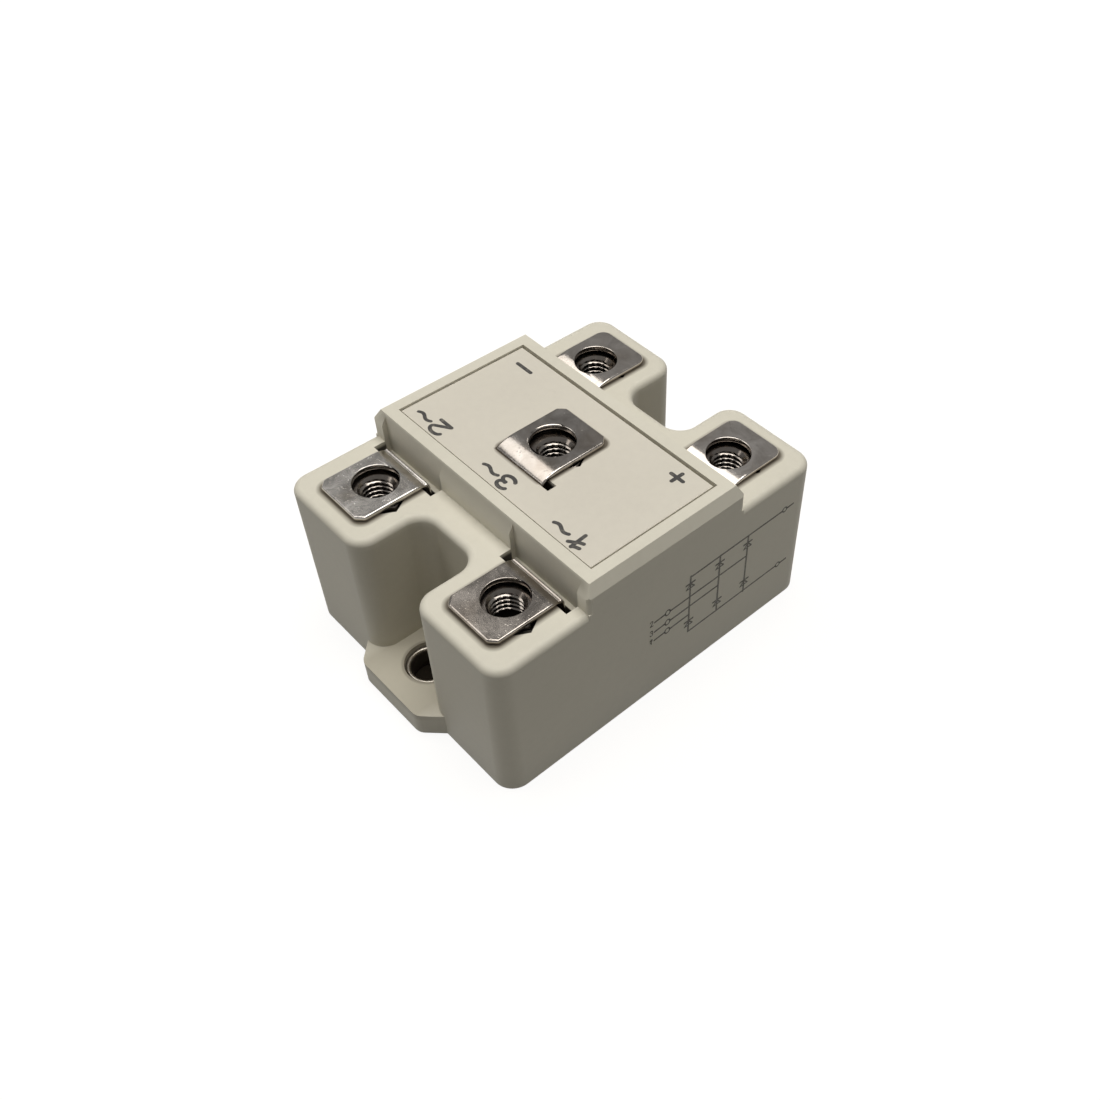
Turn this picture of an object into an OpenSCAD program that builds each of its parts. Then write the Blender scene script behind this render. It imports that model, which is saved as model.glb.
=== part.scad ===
// Three-phase bridge rectifier module with five screw terminals.
// Millimetres. The mounting face is z = 0 and the origin is at its centre.
// +X runs along the line of the two mounting holes, +Y along the raised bar.

/* [Housing] */
// Width of the body from its printed side to its back
body_w = 45.6; // [43:0.2:56]
// Height of the four terminal blocks
block_h = 25.4; // [21:0.1:32]
// How far the raised bar stands above the blocks
bar_rise = 4.5; // [3.5:0.25:6]
// Width of the raised bar at its foot
bar_w = 27.5; // [24:0.1:34]
// How far the bevel round the bar's top leans inwards
bevel_run = 0.95; // [0.5:0.05:1.2]
// How far down the bevel reaches
bevel_drop = 1.8; // [1:0.1:2.5]
// Radius of the bar's upright corners
bar_corner_r = 0.6; // [0.2:0.1:1]
// Wall between a terminal's free end and the end face of the body
end_wall = 2.8; // [2.2:0.1:4]
// Radius of the body's upright corners
corner_r = 3; // [2:0.25:4]
// Radius of the rounded top edges of the blocks
edge_r = 1; // [0.5:0.1:1.4]

/* [Mounting lugs] */
// Gap between the base plate's end and the middle of a mounting hole
hole_gap = 5; // [4.4:0.1:6]
// Width of the screwdriver notch over each lug
notch_w = 11.6; // [9.6:0.2:13.6]
// Distance from a mounting hole to the inner wall of its notch
notch_back = 6.3; // [5:0.1:7.5]
// Distance from a mounting hole to the tip of its lug
lug_end = 6.95; // [5.8:0.05:8.5]
// Width of the lug at its tip
lug_tip_w = 12.6; // [10:0.2:15.2]
// Radius of the corners at the lug's tip
lug_corner_r = 2; // [0.5:0.25:3]
// Height of the lug's upper face
lug_h = 4; // [3:0.25:5]
// Bore of the mounting bush
bush_bore_d = 5.4; // [4.4:0.1:6.4]
// Wall of the mounting bush
bush_wall = 0.5; // [0.4:0.1:0.8]
// How far the bush stays below the lug's upper face
bush_recess = 0.8; // [0.4:0.1:1]
// Free ring between the bush and the recess round its upper end
bush_ring = 0.4; // [0.2:0.05:0.5]
// Depth of that recess
bush_seat_depth = 1.8; // [1.2:0.1:2.4]

/* [Terminals] */
// Thickness of the terminal sheet
tab_t = 0.8; // [0.6:0.05:1]
// Width of a terminal
tab_w = 9.8; // [8.2:0.1:11.8]
// Clearance hole in a terminal
tab_hole_d = 6.4; // [5.4:0.1:7.6]
// Inner bend radius of the sheet
bend_r = 0.5; // [0.3:0.05:0.6]
// Cut on the free corners of the alternating-current terminals
tab_corner = 1; // [0.4:0.1:1.6]
// Radius of the free corners of the two direct-current terminals
tab_corner_r = 1.6; // [0.6:0.1:2.4]
// Distance from a corner terminal's screw to its free end
tab_reach = 6; // [5:0.1:7.2]
// Length of the recess between the bar and the start of a terminal's bend
recess_l = 2.6; // [2.2:0.1:3.2]
// Depth of that recess below the top of the block
recess_depth = 2; // [1:0.1:3]
// Room beside a terminal in its recess, on each side
recess_side = 1.7; // [1:0.1:2]
// Wall between the recess and the long side of the body
recess_wall = 2.2; // [1.5:0.1:3]
// Screw of the middle terminal, along X
mid_screw_x = 0.25; // [0:0.05:0.5]
// Distance from the middle terminal's screw to its free end
mid_reach = 5.8; // [5:0.1:7]
// Free length left in the slot beside the middle terminal
mid_slot_play = 1.4; // [0.4:0.1:1.6]
// Width of the narrow lower leg of a terminal
leg_w = 4.6; // [3.8:0.1:5.6]
// Length of a terminal's foot past its lower bend
foot_l = 1.6; // [1.2:0.1:2]

/* [Nuts] */
// Width across flats of the captive nuts
nut_af = 8; // [6.6:0.1:9.6]
// Height of the nuts
nut_h = 4; // [3:0.25:5]
// Smooth bore that stands for the thread's crests
thread_bore_d = 4.2; // [3.4:0.1:5.1]
// Depth and width of the countersink at both ends of the bore
countersink = 0.7; // [0.3:0.1:0.8]
// Play between the top of a nut and the terminal over it
nut_drop = 0.5; // [0.2:0.1:1]
// Gap between a corner nut and the leg of its terminal
nut_gap = 0.1; // [0.1:0.05:0.5]
// Gap between the middle nut and the leg of its terminal
mid_nut_gap = 0.8; // [0.3:0.1:1]
// Play between a nut's flats and its pocket
pocket_play = 0.3; // [0.1:0.05:0.5]
// How much wider than its pocket the mouth at an alternating-current terminal is
ac_mouth_play = 1.5; // [0.5:0.1:2]
// How much wider than its pocket the mouth at a direct-current terminal is
dc_mouth_play = 0.7; // [0.5:0.1:2]
// Depth of the widened mouths
mouth_depth = 1.2; // [0.6:0.1:2]
// How far a mouth sits outwards of the screw
mouth_shift = 0.9; // [0.3:0.1:1.1]
// How far the alternating-current mouths sit towards the printed side
mouth_skew = 0.3; // [0:0.1:0.5]
// How much wider than the thread the bore under a nut is
screw_room_play = 1.4; // [0.8:0.1:1.8]
// Depth of that bore
screw_room = 6; // [3:0.5:7]

/* [Top panel] */
// Width of the rim beside the inlaid panel
rim_side = 1.95; // [1.5:0.05:2.4]
// Width of the rim at both ends of the panel, with its bevel
rim_end = 2.8; // [2.3:0.1:3.4]
// Thickness of the panel
panel_t = 1.5; // [1:0.1:2]
// How far the panel sits below the rim
panel_sink = 0.25; // [0.1:0.05:0.5]
// Gap between the panel and the rim
panel_gap = 0.15; // [0.1:0.05:0.3]
// Play between the middle nut and the hexagon cut in the panel
panel_hex_play = 0.8; // [0.3:0.1:1.2]

/* [Base and circuit] */
// Wall between the base plate and the long side of the body
base_wall = 2.5; // [2:0.1:3]
// Thickness of the base plate
base_t = 3; // [2.5:0.25:3.75]
// Radius of the base plate's corners
base_corner_r = 1; // [0.5:0.25:1.25]
// How far the base plate stands proud of the housing
base_proud = 0.1; // [0.05:0.05:0.4]
// Ledge of the housing that rests on the base plate's edge
base_ledge = 1.4; // [1:0.1:1.6]
// Free border of the base plate round the ceramic
base_margin = 1.7; // [1.6:0.1:3]
// Height of the filled space's ceiling
cavity_top = 10; // [9:0.25:12]
// Thickness of the copper layers
copper_t = 0.3; // [0.2:0.05:0.4]
// Thickness of the ceramic plate
ceramic_t = 0.63; // [0.38:0.05:1]
// Free border of the ceramic round its copper
ceramic_edge = 0.4; // [0.3:0.05:1]
// Gap between two copper areas
island_gap = 0.8; // [0.5:0.1:1.2]
// Width of a square diode chip
chip_w = 5; // [4:0.1:6]
// Thickness of a diode chip
chip_t = 0.3; // [0.2:0.05:0.4]
// Thickness of the jumper clips
clip_t = 0.5; // [0.3:0.05:0.6]
// Width of the jumper clips
clip_w = 2.4; // [1.6:0.1:2.8]
// Height of the jumper clips' bridge above the chips
clip_rise = 1.6; // [1:0.1:2.5]

/* [Hidden] */
$fn = 96;

// Small overlaps and plays
over = 0.5;
play = 0.1;

// Levels, from the mounting face upwards
bar_h = block_h + bar_rise;
panel_top = bar_h - panel_sink;
panel_floor = panel_top - panel_t;
recess_floor = block_h - recess_depth;
substrate_z = base_t + copper_t;
island_z = substrate_z + ceramic_t;
island_top = island_z + copper_t;
chip_top = island_top + chip_t;
corner_nut_z = block_h - nut_drop - nut_h;
mid_nut_z = panel_top - nut_drop - nut_h;
corner_shoulder_drop = 6;
corner_shoulder = block_h - corner_shoulder_drop;
mid_shoulder_drop = 7.5;
mid_shoulder = bar_h - mid_shoulder_drop;

// From the bar outwards along X: recess, bend, screw, free end, end face
rim_w = bar_w - 2 * bevel_run;
recess_step = 0.2;
recess_wall_x = rim_w / 2 + recess_step;
bend_x = recess_wall_x + recess_l;
screw_x = bend_x + nut_gap + nut_af / 2;
body_l = 2 * (screw_x + tab_reach + end_wall);
slot_play = 0.5;
slot_w = bend_r + tab_t + slot_play;

// From the long side inwards along Y: wall, recess with its terminal
recess_w = tab_w + 2 * recess_side;
screw_y = body_w / 2 - recess_wall - recess_w / 2;

// Middle terminal, which lies at the back end of its slot
mid_bend_x = mid_screw_x - mid_nut_gap - nut_af / 2;
mid_slot_w = tab_w + mid_slot_play;
mid_slot_y = -0.2;
mid_tab_y = mid_slot_y + mid_slot_play / 2;
mid_leg_y = -1.3;
mid_foot_x = mid_bend_x + foot_l;

// Nut pockets
pocket_af = nut_af + pocket_play;
ac_mouth_af = pocket_af + ac_mouth_play;
dc_mouth_af = pocket_af + dc_mouth_play;
panel_hex_af = nut_af + panel_hex_play;
thread_mouth_d = thread_bore_d + 2 * countersink;
screw_room_d = thread_bore_d + screw_room_play;
nut_chamfer_angle = 30;

// Top panel
panel_w = rim_w - 2 * rim_side;
panel_l = body_w - 2 * rim_end;

// Copper, ceramic and base plate, sized to hold the feet of the corner terminals
circuit_l = 2 * (bend_x + foot_l);
ceramic_l = circuit_l + 2 * ceramic_edge;
base_l = ceramic_l + 2 * base_margin;
base_w = body_w - 2 * base_wall;
ceramic_w = base_w - 2 * base_margin;
circuit_w = ceramic_w - 2 * ceramic_edge;
cavity_l = base_l - 2 * base_ledge;
cavity_w = base_w - 2 * base_ledge;

// Notch, lugs and bushes
hole_pitch = base_l + 2 * hole_gap;
notch_x = hole_pitch / 2 - notch_back;
notch_depth = body_l / 2 - notch_x;
lug_reach = hole_pitch / 2 + lug_end - body_l / 2;
lug_foot_w = lug_tip_w + 2 * lug_reach;
bush_d = bush_bore_d + 2 * bush_wall;
bush_top = lug_h - bush_recess;

// Circuit layout on the ceramic
phase_pitch = (circuit_w + island_gap) / 3;
ac_island_w = phase_pitch - island_gap;
ac_edge = -0.4;
chip_side = 1.3;
plus_left = 0.6;
plus_right = plus_left + chip_w + 2 * chip_side;
plus_foot_y = leg_w / 2 + play - screw_y;
chip_gap = 0.3;
chip_dy = ac_island_w / 2 - chip_w / 2 - chip_gap;
high_x = (plus_left + plus_right) / 2;
low_x = chip_gap + chip_w / 2 - (bend_x - bend_r - tab_t);
clip_pad = 1.3;
clip_foot = 2;
clip_gap = 0.35;
high_foot_x = mid_foot_x + clip_gap;
low_foot_x = plus_right + 2 * island_gap;

// Row of each phase along Y: phase 1 in front, phase 3 in the middle, phase 2 at the back
function phase_y(phase) = phase == 1 ? -phase_pitch : phase == 2 ? phase_pitch : 0;

// Children on all four corners of the body
module four_corners() {
    for (sx = [0, 1], sy = [0, 1])
        mirror([sx, 0, 0])
            mirror([0, sy, 0])
                children();
}

// Children kept for side 1 and turned over to the other end for side -1
module at_end(side) {
    if (side > 0) children();
    else mirror([1, 0, 0]) children();
}

module rounded_rect(l, w, r) {
    square([l - 2 * r, w], center = true);
    square([l, w - 2 * r], center = true);
    for (x = [-1, 1], y = [-1, 1])
        translate([x * (l / 2 - r), y * (w / 2 - r)])
            circle(r);
}

// Hexagonal prism with two corners on the Y axis
module hex_prism(af, h) {
    rotate([0, 0, 30])
        cylinder(d = af / cos(30), h = h, $fn = 6);
}

// Plan of the body, with its two notches
module body_plan() {
    difference() {
        rounded_rect(body_l, body_w, corner_r);
        for (side = [-1, 1])
            translate([side * body_l / 2, 0])
                rounded_rect(2 * notch_depth, notch_w, corner_r);
        for (sx = [0, 1], sy = [0, 1])
            mirror([sx, 0])
                mirror([0, sy])
                    notch_mouth();
    }
}

// What the rounding at the mouth of a notch takes away
module notch_mouth() {
    difference() {
        translate([body_l / 2 - corner_r, notch_w / 2 - over])
            square([corner_r + over, corner_r + over]);
        translate([body_l / 2 - corner_r, notch_w / 2 + corner_r])
            circle(corner_r);
        translate([body_l / 2 - corner_r - over, notch_w / 2 - 2 * over])
            square([over, 3 * over]);
    }
}

// Section that a rounding takes off an edge at the origin, outwards along X
module edge_section() {
    difference() {
        translate([-edge_r, -edge_r])
            square(edge_r + over);
        translate([-edge_r, -edge_r])
            circle(edge_r);
    }
}

// Rounding of a straight edge along Y, outwards along X
module straight_edge(from, to) {
    translate([0, to, 0])
        rotate([90, 0, 0])
            linear_extrude(to - from)
                edge_section();
}

// Rounding of the top edges of one block, from the bar round to the middle of the notch
module block_edges() {
    outer_x = body_l / 2 - corner_r;
    outer_y = body_w / 2 - corner_r;
    mouth_y = notch_w / 2 + corner_r;
    inner_x = notch_x + corner_r;
    inner_y = notch_w / 2 - corner_r;
    translate([0, body_w / 2, block_h])
        rotate([0, 0, 90])
            straight_edge(-outer_x, -bar_w / 2);
    translate([outer_x, outer_y, block_h])
        rotate_extrude(angle = 90)
            translate([corner_r, 0])
                edge_section();
    translate([body_l / 2, 0, block_h])
        straight_edge(mouth_y, outer_y);
    translate([outer_x, mouth_y, block_h])
        rotate([0, 0, -90])
            rotate_extrude(angle = 90)
                translate([corner_r, 0])
                    edge_section();
    translate([0, notch_w / 2, block_h])
        rotate([0, 0, -90])
            straight_edge(inner_x, outer_x);
    translate([inner_x, inner_y, block_h])
        rotate([0, 0, 90])
            rotate_extrude(angle = 90)
                translate([corner_r, 0])
                    mirror([1, 0])
                        edge_section();
    translate([notch_x, 0, block_h])
        straight_edge(-over, inner_y);
}

// Side view of the bar across a width, with the bevel at its top
module bar_section(w) {
    polygon([
        [-w / 2, base_proud],
        [w / 2, base_proud],
        [w / 2, bar_h - bevel_drop],
        [w / 2 - bevel_run, bar_h],
        [bevel_run - w / 2, bar_h],
        [-w / 2, bar_h - bevel_drop]
    ]);
}

module bar() {
    intersection() {
        rotate([90, 0, 0])
            linear_extrude(body_w, center = true)
                bar_section(bar_w);
        rotate([90, 0, 90])
            linear_extrude(bar_w, center = true)
                bar_section(body_w);
        linear_extrude(bar_h)
            rounded_rect(bar_w, body_w, bar_corner_r);
    }
}

// Plan of one half of both lugs, with sides at 45 degrees and a rounded tip corner
module lug_plan() {
    tip_x = body_l / 2 + lug_reach;
    run = lug_corner_r * tan(22.5);
    polygon([
        [0, 0],
        [tip_x, 0],
        [tip_x, lug_tip_w / 2 - run],
        [tip_x - run * cos(45), lug_tip_w / 2 + run * sin(45)],
        [body_l / 2, lug_foot_w / 2],
        [0, lug_foot_w / 2]
    ]);
    translate([tip_x - lug_corner_r, lug_tip_w / 2 - run])
        circle(lug_corner_r);
}

// Both lugs with their cut tips
module lugs() {
    translate([0, 0, base_proud])
        linear_extrude(lug_h - base_proud)
            four_corners() lug_plan();
}

// Hole in a lug for its bush, widened round the bush's upper end
module bush_seat() {
    translate([hole_pitch / 2, 0, 0])
        cylinder(d = bush_d + play, h = lug_h);
    translate([hole_pitch / 2, 0, lug_h - bush_seat_depth])
        cylinder(d = bush_d + 2 * bush_ring, h = bush_seat_depth + over);
}

// Pocket for a nut from a floor upwards, with room for the screw's end under it
module nut_pocket(floor_z, top_z) {
    translate([0, 0, floor_z])
        hex_prism(pocket_af, top_z - floor_z);
    translate([0, 0, floor_z - screw_room])
        cylinder(d = screw_room_d, h = screw_room + over);
}

// Space for a corner terminal and its nut in the housing
module corner_terminal_space() {
    translate([recess_wall_x, screw_y - recess_w / 2, recess_floor])
        cube([bend_x - recess_wall_x, recess_w, bar_h]);
    translate([bend_x - slot_w, screw_y - recess_w / 2, corner_shoulder])
        cube([slot_w, recess_w, corner_shoulder_drop]);
    leg_slot(bend_x, screw_y, corner_shoulder);
    translate([screw_x, screw_y, 0])
        nut_pocket(corner_nut_z, block_h + over);
}

// Widened mouth of a corner pocket
module pocket_mouth(side_x, side_y, af, skew) {
    translate([side_x * (screw_x + mouth_shift), side_y * screw_y - skew, block_h - mouth_depth])
        hex_prism(af, mouth_depth + over);
}

// Space for the middle terminal and its nut in the housing
module mid_terminal_space() {
    mid_slot(mid_shoulder);
    leg_slot(mid_bend_x, mid_leg_y, mid_shoulder);
    translate([mid_screw_x, 0, 0])
        nut_pocket(mid_nut_z, panel_floor + over);
}

// Slot of the middle terminal from a level upwards
module mid_slot(from_z) {
    slot_x = mid_bend_x - bend_r - tab_t - play;
    translate([slot_x, mid_slot_y - mid_slot_w / 2, from_z])
        cube([mid_bend_x - slot_x, mid_slot_w, bar_h]);
}

// Narrow slot for a terminal's lower leg, from the filled space to the leg's shoulder
module leg_slot(at_x, at_y, shoulder_z) {
    translate([at_x - bend_r - tab_t - play, at_y - leg_w / 2 - play, cavity_top - over])
        cube([tab_t + 2 * play, leg_w + 2 * play, shoulder_z - cavity_top + 2 * over]);
}

module cavity() {
    translate([0, 0, base_t - over])
        linear_extrude(cavity_top - base_t + over)
            square([cavity_l, cavity_w], center = true);
}

module housing() {
    color("#d9d3c1")
    difference() {
        union() {
            translate([0, 0, base_proud])
                linear_extrude(block_h - base_proud)
                    body_plan();
            bar();
            lugs();
        }
        four_corners() block_edges();
        four_corners() corner_terminal_space();
        for (side_y = [-1, 1]) {
            pocket_mouth(-1, side_y, ac_mouth_af, mouth_skew);
            pocket_mouth(1, side_y, dc_mouth_af, 0);
        }
        mid_terminal_space();
        translate([0, 0, panel_floor])
            linear_extrude(bar_h)
                square([panel_w + 2 * panel_gap, panel_l + 2 * panel_gap], center = true);
        for (side = [-1, 1]) at_end(side) bush_seat();
        linear_extrude(base_t)
            rounded_rect(base_l + 2 * play, base_w + 2 * play, base_corner_r + play);
        cavity();
    }
}

module top_panel() {
    color("#d6d0be")
    difference() {
        translate([0, 0, panel_floor])
            linear_extrude(panel_t)
                square([panel_w, panel_l], center = true);
        mid_slot(panel_floor - over);
        translate([mid_screw_x, 0, panel_floor - over])
            hex_prism(panel_hex_af, panel_t + 2 * over);
    }
}

module base_plate() {
    color("silver")
    linear_extrude(base_t)
        rounded_rect(base_l, base_w, base_corner_r);
}

module mounting_bush() {
    color("silver")
    translate([hole_pitch / 2, 0, 0])
        difference() {
            cylinder(d = bush_d, h = bush_top);
            translate([0, 0, -over])
                cylinder(d = bush_bore_d, h = bush_top + 2 * over);
        }
}

// Quarter ring of sheet round a bend centre, in the quadrant given by two signs
module bend_ring(quad_x, quad_y) {
    intersection() {
        difference() {
            circle(bend_r + tab_t);
            circle(bend_r);
        }
        translate([quad_x < 0 ? -2 * bend_r - tab_t : 0, quad_y < 0 ? -2 * bend_r - tab_t : 0])
            square(2 * bend_r + tab_t);
    }
}

// Side view of a terminal: tab, bend, leg and foot
module terminal_section(at_x, end_x, seat_z, foot_x) {
    leg_x = at_x - bend_r - tab_t;
    translate([at_x, seat_z])
        square([end_x - at_x, tab_t]);
    translate([at_x, seat_z - bend_r])
        bend_ring(-1, 1);
    translate([leg_x, island_top + bend_r + tab_t])
        square([tab_t, seat_z - island_top - 2 * bend_r - tab_t]);
    translate([at_x, island_top + bend_r + tab_t])
        bend_ring(-1, -1);
    translate([at_x, island_top])
        square([foot_x - at_x, tab_t]);
}

// What is taken off a free corner of a terminal, for the corner at +X and +Y of the origin
module cut_corner() {
    rotate([0, 0, 45])
        square(tab_corner * sqrt(2), center = true);
}

module round_corner() {
    difference() {
        translate([-tab_corner_r, -tab_corner_r])
            square(tab_corner_r + over);
        translate([-tab_corner_r, -tab_corner_r])
            circle(tab_corner_r);
    }
}

// Bent sheet terminal with its free end towards +X, its free corners cut or rounded
module terminal(at_x, hole_x, end_x, seat_z, shoulder_z, tab_y, leg_y, foot_x, rounded) {
    color("silver")
    difference() {
        translate([0, tab_y + tab_w / 2, 0])
            rotate([90, 0, 0])
                linear_extrude(tab_w)
                    terminal_section(at_x, end_x, seat_z, foot_x);
        translate([hole_x, tab_y, seat_z - over])
            cylinder(d = tab_hole_d, h = tab_t + 2 * over);
        for (side = [0, 1])
            translate([end_x, tab_y, seat_z - over])
                mirror([0, side, 0])
                    translate([0, tab_w / 2, 0])
                        linear_extrude(tab_t + 2 * over) {
                            if (rounded) round_corner();
                            else cut_corner();
                        }
        translate([at_x - tab_w, leg_y + leg_w / 2, 0])
            cube([2 * tab_w, 2 * tab_w, shoulder_z]);
        translate([at_x - tab_w, leg_y - leg_w / 2 - 2 * tab_w, 0])
            cube([2 * tab_w, 2 * tab_w, shoulder_z]);
    }
}

module corner_terminal(side_x, side_y) {
    at_end(side_x)
        translate([0, side_y * screw_y, 0])
            terminal(
                bend_x, screw_x, screw_x + tab_reach, block_h,
                corner_shoulder, 0, 0, bend_x + foot_l, side_x > 0
            );
}

module mid_terminal() {
    end_x = mid_screw_x + mid_reach;
    terminal(
        mid_bend_x, mid_screw_x, end_x, panel_top,
        mid_shoulder, mid_tab_y, mid_leg_y, mid_foot_x, false
    );
}

// Hexagon nut standing on z = 0, chamfered on top, with a countersunk bore
module nut() {
    across = nut_af / cos(30);
    chamfer_h = (across - nut_af) / 2 * tan(nut_chamfer_angle);
    color("#b9b6ae")
    difference() {
        intersection() {
            hex_prism(nut_af, nut_h);
            union() {
                cylinder(d = across + over, h = nut_h - chamfer_h);
                translate([0, 0, nut_h - chamfer_h])
                    cylinder(d1 = across, d2 = nut_af, h = chamfer_h);
            }
        }
        translate([0, 0, -over])
            cylinder(d = thread_bore_d, h = nut_h + 2 * over);
        translate([0, 0, nut_h - countersink])
            cylinder(d1 = thread_bore_d, d2 = thread_mouth_d, h = countersink);
        cylinder(d1 = thread_mouth_d, d2 = thread_bore_d, h = countersink);
    }
}

module corner_nut(side_x, side_y) {
    translate([side_x * screw_x, side_y * screw_y, corner_nut_z])
        nut();
}

module mid_nut() {
    translate([mid_screw_x, 0, mid_nut_z])
        nut();
}

module substrate_copper() {
    color("#c7825a")
    translate([0, 0, base_t])
        linear_extrude(copper_t)
            square([circuit_l, circuit_w], center = true);
}

module ceramic_substrate() {
    color("white")
    translate([0, 0, substrate_z])
        linear_extrude(ceramic_t)
            square([ceramic_l, ceramic_w], center = true);
}

// Copper area between two corners of a rectangle
module island(x0, y0, x1, y1) {
    color("#c7825a")
    translate([x0, y0, island_z])
        cube([x1 - x0, y1 - y0, copper_t]);
}

module ac_island(phase) {
    half_w = ac_island_w / 2;
    island(-circuit_l / 2, phase_y(phase) - half_w, ac_edge, phase_y(phase) + half_w);
}

module island_plus() {
    island(plus_left, -circuit_w / 2, plus_right, circuit_w / 2);
    island(plus_left, -circuit_w / 2, circuit_l / 2, plus_foot_y);
}

module island_minus() {
    island(plus_right + island_gap, plus_foot_y + island_gap, circuit_l / 2, circuit_w / 2);
}

module diode(at_x, at_y) {
    color("#55565c")
    translate([at_x - chip_w / 2, at_y - chip_w / 2, island_top])
        cube([chip_w, chip_w, chip_t]);
}

module high_diode(phase) {
    diode(high_x, phase_y(phase) - chip_dy);
}

module low_diode(phase) {
    diode(low_x, phase_y(phase) + chip_dy);
}

// Jumper clip from a chip to a foot on an island, bridging at a common height
module clip(chip_x, foot_x0, at_y) {
    foot_x1 = foot_x0 + clip_foot;
    bridge_z = chip_top + clip_rise;
    towards = foot_x0 > chip_x ? 1 : -1;
    chip_riser = chip_x + towards * clip_pad;
    foot_riser = towards > 0 ? foot_x0 : foot_x1;
    left = min(chip_riser, foot_riser) - clip_t / 2;
    right = max(chip_riser, foot_riser) + clip_t / 2;
    color("#c7825a")
    translate([0, at_y + clip_w / 2, 0])
        rotate([90, 0, 0])
            linear_extrude(clip_w)
                union() {
                    translate([chip_x - clip_pad, chip_top])
                        square([2 * clip_pad, clip_t]);
                    translate([chip_riser - clip_t / 2, chip_top])
                        square([clip_t, clip_rise + clip_t]);
                    translate([left, bridge_z])
                        square([right - left, clip_t]);
                    translate([foot_riser - clip_t / 2, island_top])
                        square([clip_t, bridge_z - island_top + clip_t]);
                    translate([foot_x0, island_top])
                        square([clip_foot, clip_t]);
                }
}

module high_clip(phase) {
    clip(high_x, high_foot_x, phase_y(phase) - chip_dy);
}

module low_clip(phase) {
    clip(low_x, low_foot_x, phase_y(phase) + chip_dy);
}

// Soft filling of the space under the terminals, with every covered piece taken out of it
module silicone_gel() {
    color("#e6e9ea")
    difference() {
        translate([0, 0, base_t])
            linear_extrude(cavity_top - base_t)
                square([cavity_l, cavity_w], center = true);
        substrate_copper();
        ceramic_substrate();
        island_plus();
        island_minus();
        for (phase = [1, 2, 3]) {
            ac_island(phase);
            high_diode(phase);
            low_diode(phase);
            high_clip(phase);
            low_clip(phase);
        }
        for (side_x = [-1, 1], side_y = [-1, 1])
            corner_terminal(side_x, side_y);
        mid_terminal();
    }
}

housing();
top_panel();
base_plate();
at_end(-1) mounting_bush();  // mounting_bush_left
at_end(1) mounting_bush();  // mounting_bush_right
corner_terminal(-1, -1);  // terminal_ac1
corner_terminal(-1, 1);  // terminal_ac2
mid_terminal();  // terminal_ac3
corner_terminal(1, -1);  // terminal_plus
corner_terminal(1, 1);  // terminal_minus
corner_nut(-1, -1);  // nut_ac1
corner_nut(-1, 1);  // nut_ac2
mid_nut();  // nut_ac3
corner_nut(1, -1);  // nut_plus
corner_nut(1, 1);  // nut_minus
substrate_copper();
ceramic_substrate();
island_plus();
island_minus();
ac_island(1);  // island_ac1
ac_island(2);  // island_ac2
ac_island(3);  // island_ac3
high_diode(1);  // diode_high_1
high_diode(2);  // diode_high_2
high_diode(3);  // diode_high_3
low_diode(1);  // diode_low_1
low_diode(2);  // diode_low_2
low_diode(3);  // diode_low_3
high_clip(1);  // clip_high_1
high_clip(2);  // clip_high_2
high_clip(3);  // clip_high_3
low_clip(1);  // clip_low_1
low_clip(2);  // clip_low_2
low_clip(3);  // clip_low_3
silicone_gel();
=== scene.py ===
import math

import bmesh
import bpy
from mathutils import Euler, Matrix, Vector


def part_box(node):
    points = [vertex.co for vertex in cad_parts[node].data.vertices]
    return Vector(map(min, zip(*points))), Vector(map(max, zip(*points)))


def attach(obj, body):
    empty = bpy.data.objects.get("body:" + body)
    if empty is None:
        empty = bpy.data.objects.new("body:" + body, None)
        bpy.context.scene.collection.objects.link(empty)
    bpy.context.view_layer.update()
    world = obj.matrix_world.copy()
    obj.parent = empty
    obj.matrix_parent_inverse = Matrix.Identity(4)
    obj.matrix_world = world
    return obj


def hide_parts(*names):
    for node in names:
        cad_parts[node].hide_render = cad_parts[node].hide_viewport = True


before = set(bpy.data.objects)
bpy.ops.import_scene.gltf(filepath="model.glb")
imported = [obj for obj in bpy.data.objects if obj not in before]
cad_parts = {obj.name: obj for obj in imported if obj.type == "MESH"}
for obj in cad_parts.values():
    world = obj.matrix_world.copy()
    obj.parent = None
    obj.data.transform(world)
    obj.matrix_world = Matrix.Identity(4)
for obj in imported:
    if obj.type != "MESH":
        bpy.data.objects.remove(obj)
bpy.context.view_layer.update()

# Sizes and places are in millimetres, and become metres where Blender is given them
MM = 0.001


# Measuring the frame

def box_of(node):
    """Lowest and highest corner of a CAD node."""
    return [[round(value / MM, 3) for value in corner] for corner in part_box(node)]


def top_of(node):
    return box_of(node)[1][2]


def plan_of(node):
    """Middle and half size of a CAD node, seen from above."""
    low, high = box_of(node)
    middle = tuple((low[axis] + high[axis]) / 2 for axis in (0, 1))
    half = tuple((high[axis] - low[axis]) / 2 for axis in (0, 1))
    return middle, half


def seat_of(node):
    """Middle of a CAD node in plan, and the height of its lower face."""
    return *plan_of(node)[0], box_of(node)[0][2]


# Sizes and places from the frame

TERMINALS = ("ac1", "ac2", "ac3", "plus", "minus")
NUT_SEATS = {key: seat_of(f"nut_{key}") for key in TERMINALS}
NUT_TOPS = (top_of("nut_plus"), top_of("nut_ac3"))
NUT_AF = 2 * plan_of("nut_plus")[1][0]
NUT_H = top_of("nut_plus") - NUT_SEATS["plus"][2]
PANEL_TOP = top_of("top_panel")
FRONT_Y = box_of("housing")[0][1]

# Sizes repeated from the part's source

BLOCK_TOP = 25.4
HOLE_X = 24.3
CAD_BEND_R = 1.3
THREAD_CREST_R = 2.1

# Sizes that only the visual model has

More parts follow.
